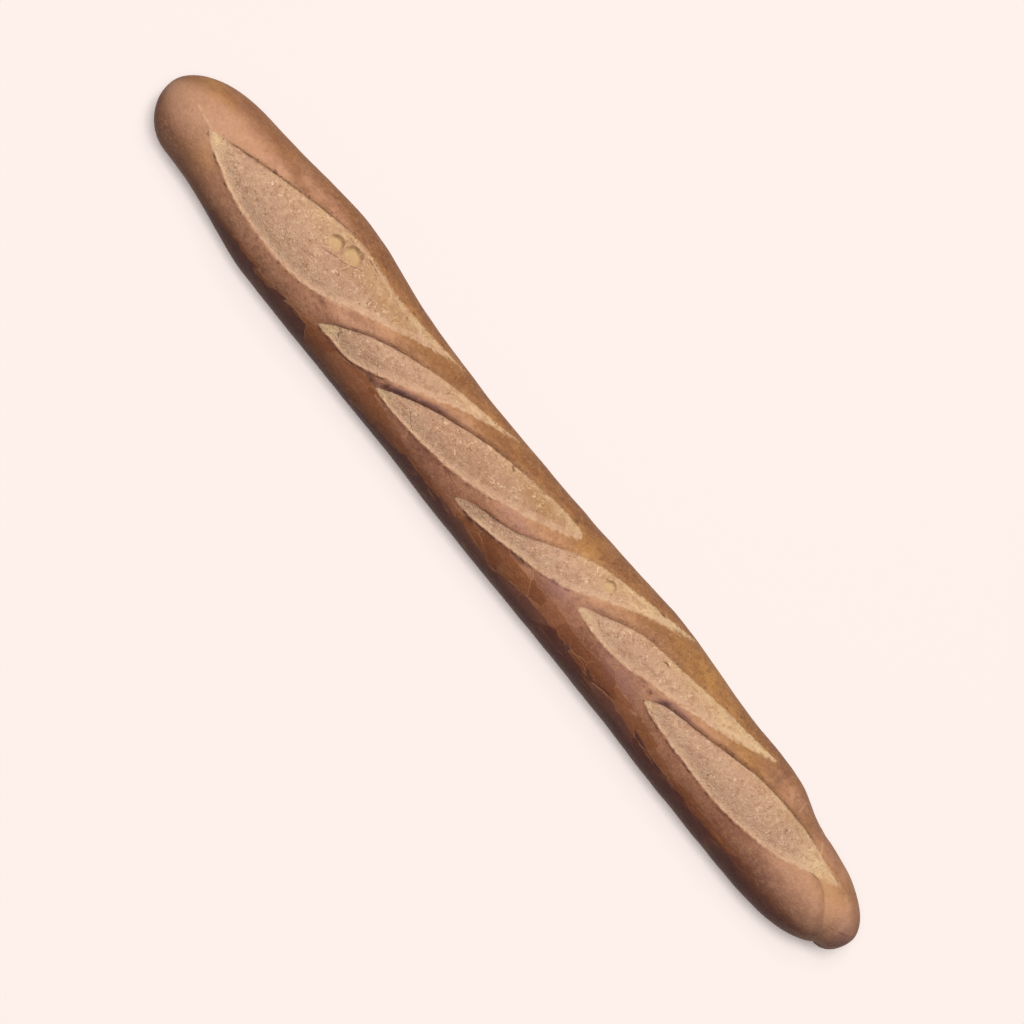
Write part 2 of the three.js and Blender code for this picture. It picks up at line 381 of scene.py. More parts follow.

# %% [markdown]
# Drawn lines. The fold at the pointed end, a few creases and some thin ridges are given, each as a
# line of points along and across the loaf. The distance to a line has a sign, left or right of it, so
# that a material can draw the line thinner than the mesh is fine. Past the fold the skin lies lower, and
# the fold runs out before it reaches the right flank.

# %% Fold, creases and threads
FOLD_LINE = ((246.5, 10.5), (251, 10), (255.3, 8), (260, 4.4), (265, 0), (268, -3.4), (270, -7), (273, -12.5))
FOLD_DEPTH = 1.6
FOLD_REACH = 14.0
FOLD_EDGE = (-1.5, 2.0)
FOLD_PAST = 5
FOLD_TONE_PAST = 4
FOLD_TOP = (11, 19)
# Each crease sinks the skin a little and is darkened with painted shade.
CREASES = (
    {"points": ((-167, 12), (-160, 14.4), (-155, 15.6), (-150, 18.4), (-145, 21)),
     "width": 0.4, "share": 0.45},
    {"points": ((-127.4, -8.2), (-127.9, -9.8), (-126.4, -11)), "width": 0.5, "share": 0.7},
    {"points": ((-17.6, 19.4), (-15.8, 18.2)), "width": 0.7, "share": 0.7},
    {"points": ((110.6, 17.6), (112.2, 18.4), (113.6, 18)), "width": 0.6, "share": 0.8},
    {"points": ((-147.5, 27.3), (-145, 27)), "width": 0.5, "share": 0.6},
    {"points": ((-142.6, 26.7), (-140.4, 26.6)), "width": 0.5, "share": 0.6},
    {"points": ((242.6, 8.8), (245.4, 9.8), (248.6, 10.2)), "width": 0.4, "share": 0.5},
    {"points": ((90, 32.3), (93, 32.6)), "width": 0.5, "share": 0.6},
    {"points": ((195.4, 21), (194.8, 27), (196.6, 33)), "width": 1.6, "share": 0.2},
    {"points": ((206, 21.8), (213, 21.7), (219, 21.2)), "width": 0.4, "share": 0.3},
)
# Each thread raises a thin ridge, whose pale line is partly its own crust and partly painted highlight.
THREADS = (
    {"points": ((-266, 6.8), (-258, 5.6), (-250, 4.2), (-243, 2.2)), "width": 0.7, "share": 0.55},
    {"points": ((230, 27.2), (235, 23.8), (241, 17.8)), "width": 0.5, "share": 0.5},
    {"points": ((243, 18.2), (252, 18), (262, 16.6)), "width": 0.9, "share": 0.35},
    {"points": ((264, 16), (270, 14.4), (274, 10.6), (276.8, 3), (276.4, -2)), "width": 1.4, "share": 0.24},
    {"points": ((214, 29.4), (215, 24)), "width": 0.6, "share": 0.3},
    {"points": ((219.4, 24), (221, 22.8)), "width": 0.8, "share": 0.3},
    {"points": ((-238.6, -1.6), (-233, -3.7), (-225, -5.8), (-216, -7.6)), "width": 1.1, "share": 0.75},
)
RELIEF_WIDTH = 0.9
CREASE_DEPTH = 0.35
THREAD_RISE = 0.3
LINE_RUNOUT = 1.5
LINE_LIMIT = (2, 4)


def line_distance(points):
    """Signed distance to a drawn line, and how far past its ends a place lies."""
    side = np.full_like(x, FAR)
    past = np.zeros_like(x)
    for (xa, aa), (xb, ab) in zip(points, points[1:]):
        length = math.hypot(xb - xa, ab - aa)
        ahead = ((x - xa) * (xb - xa) + (across - aa) * (ab - aa)) / length
        left = ((across - aa) * (xb - xa) - (x - xa) * (ab - aa)) / length
        over = np.maximum(np.maximum(-ahead, ahead - length), 0)
        distance = np.hypot(left, over)
        closer = distance < np.abs(side)
        side = np.where(closer, np.copysign(distance, left), side)
        past = np.where(closer, over, past)
    return side, past


def drawn(lines):
    """Distance from the nearest of some lines in its own widths, its share, and soft relief."""
    widths_off = np.full_like(x, FAR)
    share = np.zeros_like(x)
    relief = np.zeros_like(x)
    for line in lines:
        side, past = line_distance(line["points"])
        here = side / line["width"]
        closer = np.abs(here) < np.abs(widths_off)
        widths_off = np.where(closer, here, widths_off)
        share = np.where(closer, line["share"] * (1 - smoothstep(past, 0, LINE_RUNOUT)), share)
        relief = np.maximum(relief, line["share"] * hump(side, max(line["width"], RELIEF_WIDTH)))
    return widths_off, share * (1 - smoothstep(np.abs(widths_off), *LINE_LIMIT)) * facing, relief * facing


fold_side, fold_past = line_distance(FOLD_LINE)
fold = smoothstep(fold_side, *FOLD_EDGE) * hump(np.maximum(fold_side, 0), FOLD_REACH) * facing
fold = fold * (1 - smoothstep(fold_past, 0, FOLD_PAST)) * (1 - smoothstep(across, *FOLD_TOP))
height = height - FOLD_DEPTH * fold
crease, crease_shade_share, crease_relief = drawn(CREASES)
thread, thread_highlight_share, thread_relief = drawn(THREADS)
height = height - CREASE_DEPTH * crease_relief + THREAD_RISE * thread_relief
print("drawn:", len(CREASES), "creases and", len(THREADS), "threads")

# %% [markdown]
# Small relief. Burst bubbles leave round dents in the open scores, steep on their right and running out
# flat on their left. The crumb inside a score is grainy, and the crust is never quite even. All of it is
# height along the skin's normal.

# %% Bubbles, grain and lumps
PITS = (
    {"x": -165.4, "across": 18.3, "radius": 4.9, "depth": 1.6},
    {"x": -154.4, "across": 21.0, "radius": 5.8, "depth": 1.8},
    {"x": 62.4, "across": 19.2, "radius": 3.7, "depth": 1.2},
)
PIT_MIDDLE = 0.55
PIT_TILT = 0.5
PIT_WALL = 0.25
PIT_RIM = 1.1
PIT_SMOOTHER = 0.7
LUMPS = ((34.0, 0.5, 3), (13.0, 0.25, 4))
GRAIN = ((4.2, 0.24, 5), (2.0, 0.22, 6))
DIMPLES = ((4.0, 0.06, 7),)
dented = np.zeros_like(x)
for pit in PITS:
    radii_off = np.hypot(x - pit["x"], across - pit["across"]) / pit["radius"]
    tilt = np.clip(PIT_MIDDLE + PIT_TILT * ((across - pit["across"]) / pit["radius"]), 0, 1)
    height = height - pit["depth"] * smoothstep(1 - radii_off, 0, PIT_WALL) * tilt * facing
    dented = np.maximum(dented, smoothstep(PIT_RIM - radii_off, 0, PIT_WALL) * facing)
height = height + lumpy(skin, LUMPS)
height = height + lumpy(skin, GRAIN) * crumbly * (1 - PIT_SMOOTHER * dented) + lumpy(skin, DIMPLES)
print("bubbles:", len(PITS))

# %% [markdown]
# Browning. No oven bakes evenly. Two lines along the left flank say where the crust turns brown and where
# it turns nearly black. The rest are patches, each a soft oval with a place along and across the loaf.
# The patches of one tone make one mask, so a tone can be changed later without painting again.

# %% Lines and patches of browning
BROWN_LINE = (
    (-285, -22), (-160, -20.4), (-146, -17.4), (-136, -16), (-118, -15.6), (-100, -11.6), (-80, -14.6),
    (-60, -17.4), (-42, -18), (-14, -16.8), (6, -13.4), (22, -9.4), (60, -10), (76, -11), (90, -9.6),
    (116, -10), (138, -12.4), (156, -16.4), (200, -14), (262, -16), (285, -18),
)
DARK_LINE = (
    (-285, -24), (-262, -25), (-240, -24), (-206, -22.4), (-180, -22.6), (-164, -21.4), (-152, -18.4),
    (-142, -18.8), (-137, -25), (-108, -25.8), (-64, -24.2), (-56, -19.8), (-38, -20.4), (-24, -19.4),
    (0, -23.4), (12, -22.4), (32, -18), (52, -17.8), (72, -16.8), (96, -18), (112, -15.8), (128, -17),
    (150, -18.8), (190, -18), (214, -17), (240, -16), (262, -17), (285, -18),
)
# Each patch: its place along, its place across, half its length, half its width, and its share.
PATCHES = {
    "rosy": (
        (-215, 19, 34, 6, 1.0), (-188, 27, 26, 5, 1.0), (205, 26, 16, 6, 0.9), (-195, -11.5, 42, 7, 0.9),
        (228, 0, 20, 4, 0.6), (270, 11, 14, 8, 0.8), (246, 21.5, 22, 5, 0.7), (271, -5, 10, 6, 1.0),
        (264, 3, 7, 5, 0.8), (-258, -19, 20, 5, 0.5), (188, -9, 34, 3.5, 0.4), (-136, -2, 16, 6, 0.8),
        (-150, -9, 16, 5, 0.6),
    ),
    "golden": (
        (132, 31, 26, 8, 0.8), (39, 22, 8, 7, 1.0), (259, 10.5, 9, 6, 0.45), (172, 20.5, 20, 4, 0.6),
        (-244, -8, 12, 6, 0.5), (-268, 20, 12, 6, 0.4),
    ),
    "amber": (
        (-80, 24, 26, 7, 0.9), (-36, 24, 26, 6, 0.9), (4, 27, 30, 4, 0.8), (-118, 29, 26, 4, 0.9),
        (70, 32, 30, 6, 0.6),
    ),
    "deep": (
        (-150, 33, 20, 4, 0.6), (-250, 27, 18, 5, 0.6), (75, -6, 18, 5, 0.4), (-258, -6, 9, 5, 0.35),
    ),
    "dusky": (
        (232, -13, 26, 8, 0.85), (282, -3, 7, 9, 0.55), (-262, -13, 10, 4, 0.5), (252, -8.5, 13, 6, 0.4),
    ),
    "mauve": (
        (46, -2.5, 11, 5, 1.0), (101, -5, 15, 5, 0.8), (136, 8.6, 10, 2.6, 0.9), (-50, -14, 16, 3, 0.3),
        (4, 3, 20, 3.4, 0.5), (280, 1, 7, 11, 0.8),
    ),
    # The long thin dull patch along the first score's ear is painted shade under that ear; the rest are tone.
    "dull": (
        (-35, 5, 40, 11, 1.0), (-110, -5, 16, 6, 0.6), (-172, 4, 14, 6, 0.5), (-156, 19, 18, 9, 0.95),
        (-138, 26.4, 24, 2.6, 1.0), (8, 13, 18, 6, 0.8),
    ),
    # The olive patches are painted shade in the dips under the ears.
    "olive_shade": (
        (-116, 18.5, 24, 5, 0.9), (8, 18, 28, 5, 1.0), (-60, 17, 16, 5, 0.4),
    ),
    "bright": (
        (-246, 3.2, 9, 4, 1.0), (-134, -11.5, 7, 4, 0.9), (-89, -11, 6, 3, 0.9), (66, 0.5, 7, 3, 0.6),
        (124, -3, 5, 3, 0.6), (246, 13.6, 12, 5, 1.0), (84, 26.4, 12, 4, 0.7), (102, 33, 10, 3, 0.9),
        (158, 23, 16, 4, 0.7), (177, 28.6, 11, 3, 0.9), (-54, 21.6, 9, 2.4, 0.7), (-38, 26, 9, 2.2, 0.9),
    ),
    "knots": (
        (-98.8, -11, 3.4, 1.5, 1.0), (-90.6, -7, 1.8, 2.2, 1.0), (118, 1.8, 1.7, 1.1, 0.9),
        (-25, -5.8, 1.8, 1.2, 0.7), (-36, -9.6, 3, 0.9, 0.7), (-146, -5.8, 2.2, 1.4, 0.5),
        (42, -1.6, 1.6, 1.1, 0.8), (22, -8, 2.2, 1.1, 0.9), (-11, -16.2, 2.6, 1.0, 0.9),
        (25, 27.4, 1.2, 0.9, 0.8),
    ),
}


def below_line(line):
    """How far below a line along the flank a place lies."""
    along, height_of_line = zip(*line)
    return np.interp(x, along, height_of_line) - across


def patch_mask(patches):
    mask = np.zeros_like(x)
    for place_x, place_across, long, wide, share in patches:
        away = np.hypot((x - place_x) / long, (across - place_across) / wide)
        mask = np.maximum(mask, share * hump(away, 1.0))
    return mask * facing


masks = {name: patch_mask(patches) for name, patches in PATCHES.items()}
print("patches:", {name: len(patches) for name, patches in PATCHES.items()})

# %% [markdown]
# Scorching. The strips between the scores stood up in the oven. Two of them are burnt dark where they
# start, and two more a little. A burn follows its strip along the ear.

# %% Burnt starts of the strips
BURNS = (
    {"score": 2, "x": -84, "reach": 12, "share": 1.0},
    {"score": 2, "x": -68, "reach": 13, "share": 0.8},
    {"score": 5, "x": 128, "reach": 4, "share": 1.0},
    {"score": 5, "x": 136, "reach": 7, "share": 0.5},
    {"score": 4, "x": 70, "reach": 8, "share": 0.3},
    {"score": 1, "x": -132, "reach": 10, "share": 0.2},
)
STRIP = (-4.4, -1.6)
STRIP_END = (-0.2, 0.4)
scorched = np.zeros_like(x)
for burn in BURNS:
    score = SCORES[burn["score"]]
    top, top_slope = edge_at(score, "above", x)
    in_ear = (top - across) / np.hypot(1, top_slope)
    strip = smoothstep(in_ear, *STRIP) * (1 - smoothstep(in_ear, *STRIP_END)) * facing
    scorched = np.maximum(scorched, burn["share"] * hump(x - burn["x"], burn["reach"]) * strip)
print("burns:", len(BURNS))

# %% [markdown]
# Now the points move: along the normal by the height, and a little sideways where an ear hangs over.
# The relief runs out towards the underside and at the two tips. The underside is pressed flat, with a
# soft turn at its edge.

# %% Move the points
BASE_RUNOUT = (1.0, 8.0)
TIP_SMOOTH = (0.0, 9.0)
BASE_SOFTNESS = 0.5
low = smoothstep(z, *BASE_RUNOUT)
off_tip = smoothstep(half, *TIP_SMOOTH)
skin = skin + normal * (height * low * off_tip)[:, None]
skin[:, 1] += slide * math.cos(BLADE_LEAN)
skin[:, 2] += slide * math.sin(BLADE_LEAN)
skin[:, 2] = (skin[:, 2] + np.sqrt(skin[:, 2] ** 2 + BASE_SOFTNESS**2)) / 2
loaf_mesh.vertices.foreach_set("co", (skin * MM).ravel())
loaf_mesh.update()
print("loaf height, mm:", round(float(skin[:, 2].max()), 1))

# %% [markdown]
# The material has to know where it is on the loaf. We store what we measured as attributes on the
# mesh. Lines are stored as distances rather than finished masks, because a distance stays true between
# two points of the mesh, and the material can cut it sharply. Attributes move with the mesh, so nothing
# slides.

# %% Store the measures on the mesh
measures = {
    "inside": inside, "ear": ear, "ear_scorch_and_shade": ear_scorch_and_shade, "lip": lip, "lip_rim_highlight": lip_rim_highlight, "lip_scorch_and_shade": lip_scorch_and_shade,
    "girth": degrees, "across": across, "scorched": scorched,
    "crease": crease, "crease_shade_share": crease_shade_share, "thread": thread, "thread_highlight_share": thread_highlight_share,
    "below_brown": below_line(BROWN_LINE), "below_dark": below_line(DARK_LINE), "fold": fold_side,
    "fold_share": facing * (1 - smoothstep(fold_past, 0, FOLD_TONE_PAST)),
    **masks,
}
for name, values in measures.items():
    attribute = loaf_mesh.attributes.new(name, "FLOAT", "POINT")
    attribute.data.foreach_set("value", values.astype(np.float32))
loaf = bpy.data.objects.new("baked_loaf", loaf_mesh)
bpy.context.scene.collection.objects.link(loaf)
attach(loaf, "root")
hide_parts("loaf")
print("measures:", list(measures))

# %% [markdown]
# Mixing paint with nodes is easier with a few short helpers: one adds a node to the tree in hand and
# connects its inputs, the others are the sums and mixes that every step below uses. Colours are picked
# as 8-bit screen values and turned into the linear values that Blender paints with.

# %% Helpers for nodes
material = bpy.data.materials.new("baked_crust")
material.use_nodes = True
tree = material.node_tree
tree.nodes.clear()


def add(kind, inputs=(), **settings):
    node = tree.nodes.new(kind)
    for name, value in settings.items():
        setattr(node, name, value)
    for socket, value in dict(inputs).items():
        if isinstance(value, bpy.types.NodeSocket):
            tree.links.new(value, node.inputs[socket])
        else:
            node.inputs[socket].default_value = value
    return node


def sum_of(operation, a, b=0.0, clamp=False):
    return add("ShaderNodeMath", {0: a, 1: b}, operation=operation, use_clamp=clamp).outputs[0]


def ease(value, low, high, to_low=0.0, to_high=1.0):
    sockets = {"Value": value, "From Min": low, "From Max": high, "To Min": to_low, "To Max": to_high}
    return add("ShaderNodeMapRange", sockets, interpolation_type="SMOOTHSTEP").outputs["Result"]


def blend(share, a, b):
    return add("ShaderNodeMix", {0: share, 6: a, 7: b}, data_type="RGBA").outputs[2]


def product(*shares):
    result = shares[0]
    for share in shares[1:]:
        result = sum_of("MULTIPLY", result, share)
    return result


def band(value, low, high, edge):
    """1 between low and high, running out to 0 over an edge at each side."""
    return product(ease(value, low - edge, low), ease(value, high + edge, high))


def thin_line(value, full, faint):
    """1 where a signed distance is under full, running out to 0 at faint."""
    return ease(sum_of("ABSOLUTE", value), faint, full)


def measure(name):
    return add("ShaderNodeAttribute", attribute_name=name).outputs["Fac"]


def paint(red, green, blue):
    def linear(c):
        c /= 255
        return c / 12.92 if c <= 0.04045 else ((c + 0.055) / 1.055) ** 2.4

    return (linear(red), linear(green), linear(blue), 1.0)


# %% [markdown]
# Nearly every tone is broken up by noise. A speckle is plain noise of a size in millimetres, clouds are a
# speckle cut into a share from least to most, and shaken noise pushes a line about. All of them read
# Object coordinates, so the pattern sits in the loaf itself.

# %% Helpers for noise
place = add("ShaderNodeTexCoord").outputs["Object"]


def speckle(size_mm, detail=2.0, roughness=0.5):
    sockets = {"Vector": place, "Scale": 1000.0 / size_mm, "Detail": detail, "Roughness": roughness}
    return add("ShaderNodeTexNoise", sockets).outputs["Fac"]


def clouds(size_mm, thin, full, least=0.0, most=1.0, detail=2.0, roughness=0.5):
    return ease(speckle(size_mm, detail, roughness), thin, full, least, most)


def shaken(size_mm, amount, detail=3.0):
    """Noise from minus to plus half the amount."""
    return product(sum_of("SUBTRACT", speckle(size_mm, detail), 0.5), amount)


# %% [markdown]
# Crust colour. From the right flank over the crown to the left flank the crust runs through a few baked
# tones, so the angle round the loaf is the fader of one colour ramp. Noise bends the fader, so that no
# band has a straight edge. Both ends are paler on the crown, and the patches go over it all.

# %% Crust colour
GIRTH_SPAN = 130.0
GIRTH_BEND = {"size_mm": 38.0, "amount": 36.0}
CRUST_TONES = (
    (-112, paint(148, 98, 74)),
    (-66, paint(160, 106, 80)),
    (-52, paint(164, 110, 84)),
    (-38, paint(170, 116, 90)),
    (-12, paint(188, 136, 108)),
    (8, paint(184, 132, 96)),
    (28, paint(145, 98, 60)),
    (50, paint(139, 92, 55)),
    (76, paint(138, 90, 54)),
    (118, paint(140, 92, 62)),
)
END_TONE = paint(200, 152, 124)
END_SHARE = 0.6
BLUNT_PALE = (-0.215, -0.25, 0.0, 1.0)
POINT_PALE = (0.205, 0.25, 0.0, 0.6)
PALE_FROM_LEFT = (-60.0, -25.0)
PALE_TO_RIGHT = (45.0, 10.0, 0.3, 1.0)
PATCH_TONES = (
    ("rosy", 0.9, paint(206, 153, 124)),
    ("golden", 0.85, paint(196, 142, 76)),
    ("amber", 0.8, paint(152, 102, 58)),
    ("deep", 0.75, paint(116, 64, 42)),
    ("dusky", 0.75, paint(112, 74, 68)),
)


def tone_ramp(value, tones, low, high):
    node = add("ShaderNodeValToRGB", {"Fac": value})
    stops = node.color_ramp.elements
    while len(stops) < len(tones):
        stops.new(0.5)
    for stop, (position, tone) in zip(stops, tones):
        stop.position = (position - low) / (high - low)
        stop.color = tone
    return node.outputs["Color"]


girth = measure("girth")
bent_girth = sum_of("ADD", girth, shaken(**GIRTH_BEND))
fader = add("ShaderNodeMapRange", {"Value": bent_girth, "From Min": -GIRTH_SPAN, "From Max": GIRTH_SPAN})
crust = tone_ramp(fader.outputs["Result"], CRUST_TONES, -GIRTH_SPAN, GIRTH_SPAN)
along = add("ShaderNodeSeparateXYZ", {"Vector": place}).outputs["X"]
at_ends = sum_of("MAXIMUM", ease(along, *BLUNT_PALE), ease(along, *POINT_PALE))
end_share = product(at_ends, ease(girth, *PALE_FROM_LEFT), ease(girth, *PALE_TO_RIGHT), END_SHARE)
crust = blend(end_share, crust, END_TONE)
patchy = clouds(11.0, 0.3, 0.6, 0.6, detail=3.0)
for name, share, tone in PATCH_TONES:
    crust = blend(product(measure(name), patchy, share), crust, tone)
print("crust tones:", len(CRUST_TONES), "and tones of patches:", len(PATCH_TONES))

# %% [markdown]
# Mottles. Close up, a crust is never one tone: gold and red-brown clouds on the right flank, paler clouds
# on the crown, and fine flecks all over, fewer of them towards the two ends.

# %% Mottles
right_side = ease(girth, 5.0, 25.0)
crown_side = ease(girth, 40.0, 0.0, 0.25, 1.0)
from_middle = sum_of("ABSOLUTE", along)
mid_part = ease(from_middle, 0.25, 0.19, 0.35, 1.0)
on_flanks = product(ease(sum_of("ABSOLUTE", girth), 18.0, 40.0), mid_part)
ear_side = measure("ear")
lip_side = measure("lip")
MOTTLES = (
    # Gold and red-brown clouds on the right flank, brown ones all over, pale ones on the crown.
    (product(clouds(13.0, 0.5, 0.64, detail=3.0), right_side, 0.25), paint(184, 130, 74)),
    (product(clouds(10.0, 0.52, 0.66, detail=3.0), right_side, 0.25), paint(130, 78, 50)),
    (product(clouds(9.0, 0.3, 0.55, 0.45, 0.0, 4.0, 0.6), mid_part), paint(120, 72, 48)),
    (product(clouds(14.0, 0.5, 0.72, 0.0, 0.4, 3.0, 0.6), crown_side), paint(208, 156, 126)),
    # Flecks, pale on the crown, dark and pale on the flanks.
    (product(clouds(2.2, 0.42, 0.8, 0.0, 0.5, 3.0, 0.7), crown_side), paint(214, 166, 124)),
    (product(clouds(2.6, 0.42, 0.82, 0.0, 0.5, 3.0, 0.7), mid_part), paint(108, 66, 44)),
    (product(clouds(4.5, 0.5, 0.66, 0.0, 0.4, 3.0, 0.65), on_flanks), paint(104, 60, 40)),
    (product(clouds(1.9, 0.52, 0.7, 0.0, 0.45, 3.0, 0.7), on_flanks), paint(196, 140, 96)),
    # Darker along the ears and paler along the lips on the right, partly baked tone and partly painted shade
    # and highlight, and a few specks of flour.
    (product(ease(ear_side, -2.4, -0.4), measure("ear_scorch_and_shade"), 0.3), paint(110, 68, 46)),
    (product(ease(lip_side, -5.0, -0.8), ease(girth, -20.0, 0.0), 0.12), paint(206, 154, 104)),
    (product(clouds(1.5, 0.58, 0.68, detail=3.0, roughness=0.65), clouds(16.0, 0.4, 0.6, 0.2), 0.3),
     paint(216, 172, 112)),
)
for share, tone in MOTTLES:
    crust = blend(share, crust, tone)
print("mottles:", len(MOTTLES))

# %% [markdown]
# Terraces. As the loaf cools, the thin crust on the left flank breaks into plates, and each plate has one
# tone, so the flank darkens in steps with scalloped edges and not in a smooth fade. A Voronoi pattern
# has such plates. Each plate shifts the two browning lines by its own amount. Towards the ends of the loaf
# the steps run out into a soft fade, and towards the underside the browning itself runs out.

# %% Terraces on the dark flank
PLATE = 11.0
PLATE_STRETCH = (0.55, 1.0, 1.0)
PLATE_STEP = 3.4
RAGGED_SCALE = 90.0
RAGGED_REACH = 0.006
LINE_RAGGED = 2.0
EDGE_SHARP = 0.35
EDGE_SOFT = 5.0
SOFT_ENDS = (0.185, 0.245)
UNEVEN_BY = 0.15
RIM_FULL = 0.1
RIM_FAINT = 0.45
RIM_ENDS = (0.2, 0.17)
TERRACE_RIM = paint(204, 146, 104)
FLANK_BANDS = (("below_brown", 0.7, paint(146, 83, 40)), ("below_dark", 0.72, paint(74, 43, 53)))
ragged = add("ShaderNodeTexNoise", {"Vector": place, "Scale": RAGGED_SCALE, "Detail": 2.0}).outputs["Color"]
ragged = add("ShaderNodeVectorMath", {0: ragged, 1: (0.5, 0.5, 0.5)}, operation="SUBTRACT").outputs[0]
ragged = add("ShaderNodeVectorMath", {0: ragged, "Scale": RAGGED_REACH}, operation="SCALE").outputs[0]
flank = add("ShaderNodeMapping", {"Vector": place, "Scale": PLATE_STRETCH}).outputs["Vector"]
flank = add("ShaderNodeVectorMath", {0: flank, 1: ragged}).outputs[0]
plate_sockets = {"Vector": flank, "Scale": 1000.0 / PLATE}
plates = add("ShaderNodeTexVoronoi", plate_sockets, feature="F1")
cracks = add("ShaderNodeTexVoronoi", plate_sockets, feature="DISTANCE_TO_EDGE").outputs["Distance"]
plate_mark = add("ShaderNodeSeparateColor", {"Color": plates.outputs["Color"]})
left_side = ease(girth, 0.0, -20.0)
edge_width = ease(from_middle, *SOFT_ENDS, EDGE_SHARP, EDGE_SOFT)
terrace_shift = product(sum_of("SUBTRACT", plate_mark.outputs["Red"], 0.5), PLATE_STEP)
terrace_shift = sum_of("ADD", terrace_shift, shaken(3.0, LINE_RAGGED))
broken = clouds(12.0, 0.46, 0.6, most=0.5)
above_ground = ease(girth, -118.0, -86.0, 0.12, 1.0)
in_band = {}
for name, share, tone in FLANK_BANDS:
    under = sum_of("ADD", measure(name), terrace_shift)
    in_band[name] = product(ease(sum_of("DIVIDE", under, edge_width), -1.0, 1.0), left_side, above_ground)
    uneven = clouds(8.0, 0.3, 0.7, share, share - UNEVEN_BY, detail=3.0)
    crust = blend(product(in_band[name], uneven), crust, tone)
    rim = product(thin_line(under, RIM_FULL, RIM_FAINT), left_side, broken, ease(from_middle, *RIM_ENDS))
    crust = blend(rim, crust, TERRACE_RIM)
print("bands on the dark flank:", list(in_band))

# %% [markdown]
# Plates. Here and there a plate is mauve, redder or paler than its neighbours, thin flakes have come off
# in streaks, and fine pale cracks run between some of the plates.

# %% Plates, flakes and cracks
STREAK_STRETCH = (0.22, 1.0, 1.0)
STREAK_LEAN = (0.0, 0.7, 0.0)
STREAK_SCALE = 420.0
plated = product(band(girth, -64.0, -30.0, 10.0), band(along, -0.12, 0.19, 0.03))
streaks = {"Vector": place, "Scale": STREAK_STRETCH, "Rotation": STREAK_LEAN}
streaks = add("ShaderNodeMapping", streaks).outputs["Vector"]
streaks = add("ShaderNodeTexNoise", {"Vector": streaks, "Scale": STREAK_SCALE, "Detail": 3.0}).outputs["Fac"]
flaked = product(ease(streaks, 0.54, 0.7), band(girth, -78.0, -36.0, 12.0), clouds(15.0, 0.4, 0.6))
crack_line = product(ease(cracks, 0.03, 0.006), band(girth, -60.0, -28.0, 10.0), clouds(22.0, 0.45, 0.58))
out_of_dark = ease(in_band["below_dark"], 0.0, 1.0, 1.0, 0.35)
crack_line = product(crack_line, band(along, -0.1, 0.17, 0.02), out_of_dark)
mauve_mark, red_mark = plate_mark.outputs["Green"], plate_mark.outputs["Blue"]
PLATE_COATS = (
    (product(measure("mauve"), ease(mauve_mark, 0.3, 0.36, 0.4, 1.0), 0.75), paint(166, 117, 108)),
    (product(plated, ease(red_mark, 0.6, 0.66, 0.0, 0.28)), paint(112, 56, 42)),
    (product(plated, ease(red_mark, 0.4, 0.34, 0.0, 0.2)), paint(182, 122, 98)),
    (product(flaked, 0.45), paint(188, 126, 84)),
    (product(crack_line, 0.35), TERRACE_RIM),
)
for share, tone in PLATE_COATS:
    crust = blend(share, crust, tone)
print("coats on the plates:", len(PLATE_COATS))

# %% [markdown]
# Score colour. The crumb that opened late in the bake is pale and dry. It is pinkish on the left and
# yellower where it thins out towards the right flank and at the tips, with olive painted shade under some of
# the ears. Smooth and grainy places change, and several sizes of grain keep it from looking like paint.

# %% Score colour
CRUMB_TONE = paint(199, 160, 132)
SWIRL = 1.2
rightward = ease(measure("across"), 8.0, 30.0)
bright = measure("bright")
pale_band = product(band(lip_side, 0.4, 3.0, 1.8), ease(girth, -62.0, -34.0))
grainy = product(clouds(9.0, 0.35, 0.6, 0.5), ease(pale_band, 0.0, 1.0, 1.0, 0.5))


def swirl(size_mm, detail=2.0):
    sockets = {"Vector": place, "Scale": 1000.0 / size_mm, "Detail": detail, "Distortion": SWIRL}
    return add("ShaderNodeTexNoise", sockets).outputs["Fac"]


CRUMB_COATS = (
    # Broad tones: yellow to the right, pink clouds, dull places with some painted shade, olive painted shade,
    # pale lips and tips.
    (rightward, paint(200, 163, 118)),
    (clouds(11.0, 0.42, 0.62, most=0.4), paint(190, 146, 122)),
    (product(measure("dull"), 0.7), paint(176, 132, 104)),
    (product(measure("olive_shade"), clouds(6.0, 0.3, 0.6, 0.5, 0.85)), paint(168, 124, 78)),
    (product(pale_band, 0.5), paint(216, 177, 145)),
    (product(bright, clouds(4.0, 0.3, 0.6, 0.6), 0.85), paint(230, 197, 150)),
    # Torn crumb, dark and light, coarse and then fine.
    (ease(swirl(5.0), 0.5, 0.66, 0.0, 0.5), paint(176, 128, 98)),
    (ease(swirl(4.0), 0.52, 0.68, 0.0, 0.4), paint(220, 182, 148)),
    (product(ease(swirl(1.5, 3.0), 0.54, 0.7, 0.0, 0.7), grainy), paint(132, 90, 64)),
    (product(ease(swirl(2.0, 3.0), 0.55, 0.72, 0.0, 0.75), grainy), paint(240, 206, 170)),
    # A painted highlight on the raised rim inside the lip, over its pale crumb, and a paler trail under the
    # ear on the right.
    (product(band(lip_side, 0.1, 0.7, 0.8), measure("lip_rim_highlight"), clouds(4.0, 0.42, 0.64, 0.15, 0.9)),
     paint(232, 194, 156)),
    (product(band(ear_side, 0.8, 2.2, 0.8), rightward, clouds(5.0, 0.4, 0.6), 0.35), paint(226, 192, 148)),
)
crumb = CRUMB_TONE
for share, tone in CRUMB_COATS:
    crumb = blend(share, crumb, tone)
fray = product(shaken(2.4, 1.8), ease(bright, 0.2, 1.0, 1.0, 1.5))
edge_softness = ease(bright, 0.2, 1.0, 0.4, 0.8)
crumb_share = sum_of("DIVIDE", sum_of("ADD", measure("inside"), fray), edge_softness)
crumb_share = ease(crumb_share, -1.0, 1.0)
skin_colour = blend(crumb_share, crust, crumb)
print("coats of crumb:", len(CRUMB_COATS))
